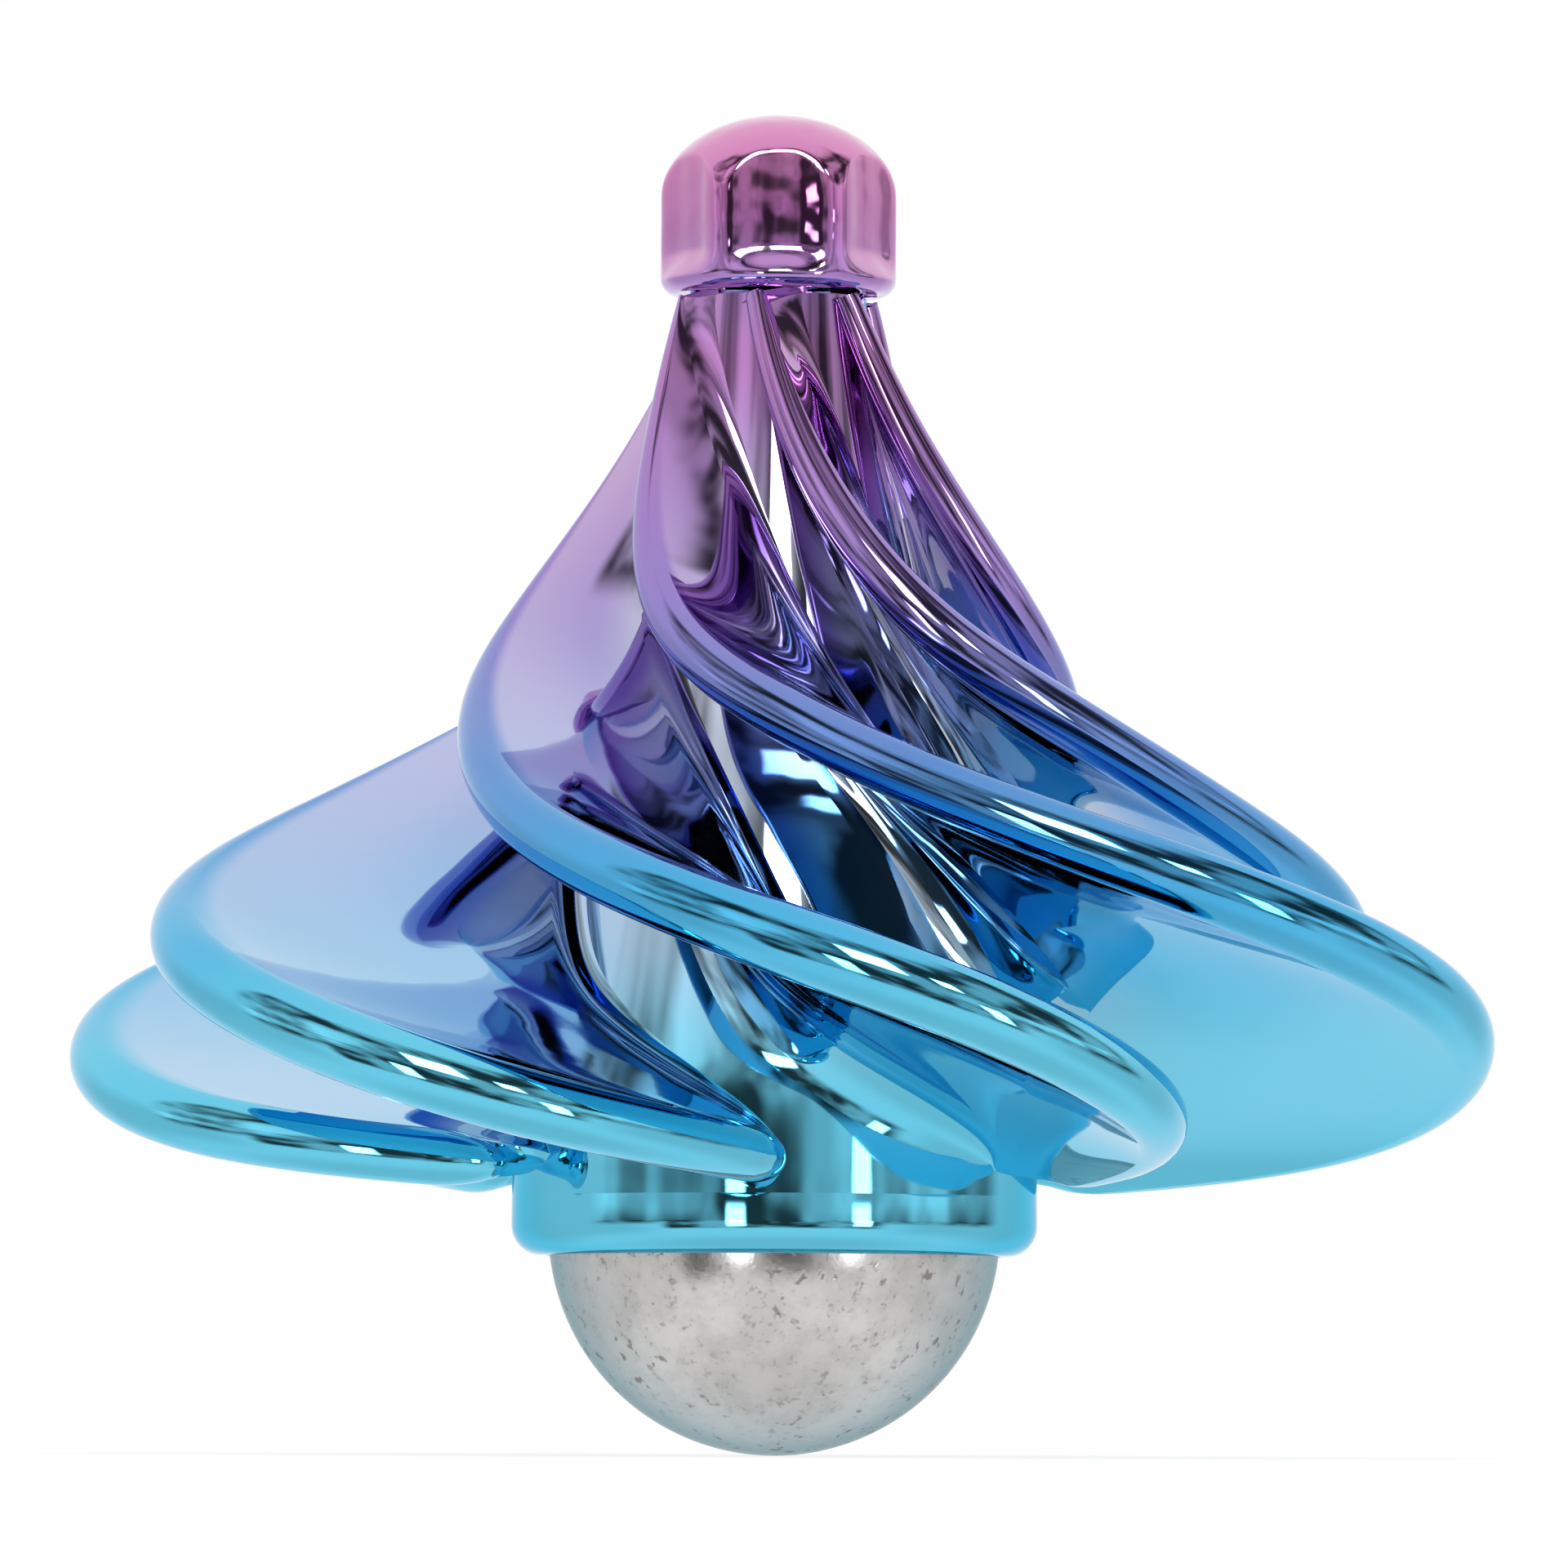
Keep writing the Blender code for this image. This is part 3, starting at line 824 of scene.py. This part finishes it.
class MakeHub(bpy.types.Operator):
    """Makes the smooth flared hub."""

    bl_idname = "spinning_top.make_hub"
    bl_label = "Hub"

    def execute(self, context):
        sizes = context.scene.top_sizes
        colours = context.scene.top_colours
        heights = np.linspace(HUB_TOP, HUB_LOW, HUB_ROWS)
        wall = np.stack((hub_radius(sizes, heights), heights), axis=-1)
        ends = [(0.0, HUB_LOW + POCKET_DEPTH), (0.0, HUB_TOP)]
        mesh = turned("rotor_hub_skin", np.concatenate((ends, wall)))
        material = plating("hub_plating", colours, colours.collar_edge, smudge_scale=340.0, ripple=0.10)
        add_piece("flared_hub", mesh, material, "rotor", ["rotor_hub"])
        return {"FINISHED"}


class MakeVanes(bpy.types.Operator):
    """Makes the swept vanes."""

    bl_idname = "spinning_top.make_vanes"
    bl_label = "Vanes"

    def execute(self, context):
        sizes = context.scene.top_sizes
        colours = context.scene.top_colours
        material = plating("vane_plating", colours, colours.vane_edge, smudge_scale=280.0, ripple=0.06)
        rings, reach = vane_rings(sizes)
        one = skin(rings, "vane_skin", reach)
        mesh = spread_round(one, sizes.vane_count, sizes.vane_phase, material)
        add_piece("swept_vanes", mesh, material, "rotor", VANE_NODES)
        return {"FINISHED"}


class MakeKnob(bpy.types.Operator):
    """Makes the six-sided knob."""

    bl_idname = "spinning_top.make_knob"
    bl_label = "Knob"

    def execute(self, context):
        sizes = context.scene.top_sizes
        colours = context.scene.top_colours
        radius, height = self.outline(sizes)
        angle = np.linspace(0, 2 * math.pi, KNOB_SEGMENTS, endpoint=False)
        ridge = 0.5 - 0.5 * np.cos(KNOB_FLATS * angle)
        hollow = 1 - (1 - ridge) ** 2
        rise = np.clip((height - KNOB_BOTTOM - TOE_START) / TOE_RISE, 0, 1)
        toe = rise ** 2 * (3 - 2 * rise)
        flat = sizes.knob_radius - sizes.flat_depth * hollow[None, :] * toe
        cut = np.where(radius < CROWN_RADIUS, radius, soft_least(radius, flat, FLAT_SOFTNESS))
        mesh = skin(polar(cut, angle[None, :], height), "knob_skin")
        material = plating(
            "knob_plating", colours, colours.knob_edge,
            smudge_scale=420.0, ripple=0.35, ripple_scale=800.0)
        add_piece("domed_knob", mesh, material, "rotor", ["knob_cap"])
        return {"FINISHED"}

    def outline(self, sizes):
        """Radii and heights of the knob without its flats, from its foot to its crown."""
        shoulder = KNOB_BOX[1].z - sizes.dome_height
        foot = np.linspace(0, math.pi / 2, KNOB_FOOT_ROWS)
        wall = np.linspace(KNOB_BOTTOM + KNOB_CORNER, shoulder, KNOB_WALL_ROWS + 2)[1:-1]
        dome = np.linspace(0, math.pi / 2, KNOB_DOME_ROWS)
        radius = np.concatenate((
            [0.0], sizes.knob_radius - KNOB_CORNER * (1 - np.sin(foot)),
            np.full(KNOB_WALL_ROWS, sizes.knob_radius), sizes.knob_radius * np.cos(dome)))
        height = np.concatenate((
            [KNOB_BOTTOM], KNOB_BOTTOM + KNOB_CORNER * (1 - np.cos(foot)),
            wall, shoulder + sizes.dome_height * np.sin(dome)))
        radius[-1] = 0.0
        return radius[:, None], height[:, None]


class Studio:
    """Directions in the studio as azimuth, 0 on the camera's side, and elevation."""

    def __init__(self, graph):
        self.place = graph.coordinate("Generated")
        east, north, up = (graph.coordinate("Generated", axis) for axis in "XYZ")
        self.azimuth = east.math("ARCTAN2", north * -1.0)
        self.elevation = up.math("ARCSINE")

    def patch(self, azimuth, elevation, half_width, half_height, soft):
        """1 inside a patch of the surround, 0 outside; all in degrees."""
        edge = math.radians(soft)
        aside = (self.azimuth - math.radians(azimuth)).math("ABSOLUTE")
        above = (self.elevation - math.radians(elevation)).math("ABSOLUTE")
        wide = (math.radians(half_width) - aside).step(-edge, edge)
        tall = (math.radians(half_height) - above).step(-edge, edge)
        return wide * tall

    def lit(self, panels):
        """Sum of patches, each with its strength."""
        return sum(self.patch(*place) * strength for place, strength in panels)

    def mirrored(self, graph):
        """What mirrors see: a white surround with a dark wall behind the camera and softboxes."""
        clouds = graph.noise(self.place, WALL_CLOUD_SCALE).step(*WALL_CLOUD_RANGE)
        horizon = self.patch(*HORIZON) * (1 - self.patch(*HORIZON_BREAK))
        wall = WALL_LEVEL + WALL_CLOUDS * clouds + HORIZON_LEVEL * horizon + self.lit(DIM_PANELS)
        dark = self.patch(*DARK_WALL).math("MAXIMUM", self.patch(*DARK_FRONT))
        below = 1 - NADIR_SHADE * (self.elevation * -1.0).step(*NADIR)
        sides = 1 - SIDE_SHADE * (self.patch(*LEFT_SIDE) + self.patch(*RIGHT_SIDE))
        return (1 - dark) * below * sides + dark * wall + self.lit(SOFTBOXES)


class MakeStage(bpy.types.Operator):
    """Makes the pale floor, the studio light and the camera."""

    bl_idname = "spinning_top.make_stage"
    bl_label = "Stage"

    def execute(self, context):
        self.make_floor(context.scene.top_colours)
        self.make_studio(context.scene)
        self.make_camera(context.scene)
        context.scene.view_settings.view_transform = "Standard"
        return {"FINISHED"}

    def make_floor(self, colours):
        """Floor that keeps a faint shadow, and that mirrors see through to the surround."""
        half = FLOOR_HALF
        mesh = bpy.data.meshes.new("floor")
        corners = [(-half, -half, 0), (half, -half, 0), (half, half, 0), (-half, half, 0)]
        mesh.from_pydata(corners, [], [(0, 1, 2, 3)])
        material, graph = new_material("pale_floor")
        paper = graph.node("ShaderNodeBsdfDiffuse", {}, {"Color": opaque(colours.floor)})
        glow = graph.node("ShaderNodeEmission", {}, {"Color": WHITE, "Strength": 1.0})
        clear = graph.node("ShaderNodeBsdfTransparent")
        seen = graph.ray("Is Camera Ray").math("MAXIMUM", graph.ray("Is Transmission Ray"))
        pale = graph.node("ShaderNodeMixShader", {}, [seen * FLOOR_GLOW, paper, glow])
        shader = graph.node("ShaderNodeMixShader", {}, [graph.ray("Is Glossy Ray"), pale, clear])
        graph.node("ShaderNodeOutputMaterial", {}, {"Surface": shader})
        mesh.materials.append(material)
        floor = linked("floor", mesh)

    def make_studio(self, scene):
        """World that is white to the camera, soft light to matt surfaces and a studio to mirrors."""
        world = bpy.data.worlds.new("studio")
        world.use_nodes = True
        scene.world = world
        graph = Graph(world.node_tree)
        glossy = graph.ray("Is Glossy Ray")
        seen = graph.ray("Is Camera Ray").math("MAXIMUM", graph.ray("Is Transmission Ray"))
        plain = SOFT_LIGHT + (1 - SOFT_LIGHT) * seen
        strength = glossy * Studio(graph).mirrored(graph) + (1 - glossy) * plain
        background = graph.node("ShaderNodeBackground", {}, {"Color": WHITE, "Strength": strength})
        graph.node("ShaderNodeOutputWorld", {}, {"Surface": background})

    def make_camera(self, scene):
        """Camera of the photograph's view."""
        data = bpy.data.cameras.new("camera")
        data.lens = LENS
        data.sensor_width = SENSOR_WIDTH
        data.clip_start = CLIP_START
        camera = linked("camera", data)
        away = Vector((0.0, -math.cos(CAMERA_ELEVATION), math.sin(CAMERA_ELEVATION)))
        camera.location = AIM + away * CAMERA_DISTANCE
        facing = (-away).to_track_quat("-Z", "Y")
        camera.rotation_mode = "QUATERNION"
        camera.rotation_quaternion = facing @ Quaternion((0, 0, 1), CAMERA_ROLL)
        scene.camera = camera


OPERATORS = (MakeBall, MakeCollar, MakeHub, MakeVanes, MakeKnob, MakeStage)


class TopPanel(bpy.types.Panel):
    """Lists the pieces of the top."""

    bl_idname = "VIEW3D_PT_spinning_top"
    bl_label = "Spinning top"
    bl_space_type = "VIEW_3D"
    bl_region_type = "UI"
    bl_category = "Spinning top"

    def draw(self, context):
        for operator in OPERATORS:
            self.layout.operator(operator.bl_idname)


CLASSES = (TopSizes, TopColours, *OPERATORS, TopPanel)


def register():
    for item in CLASSES:
        bpy.utils.register_class(item)
    bpy.types.Scene.top_sizes = PointerProperty(type=TopSizes)
    bpy.types.Scene.top_colours = PointerProperty(type=TopColours)


def unregister():
    del bpy.types.Scene.top_colours
    del bpy.types.Scene.top_sizes
    for item in reversed(CLASSES):
        bpy.utils.unregister_class(item)


def main():
    register()
    bpy.ops.spinning_top.make_ball()
    bpy.ops.spinning_top.make_collar()
    bpy.ops.spinning_top.make_hub()
    bpy.ops.spinning_top.make_vanes()
    bpy.ops.spinning_top.make_knob()
    bpy.ops.spinning_top.make_stage()


if __name__ == "__main__":
    main()
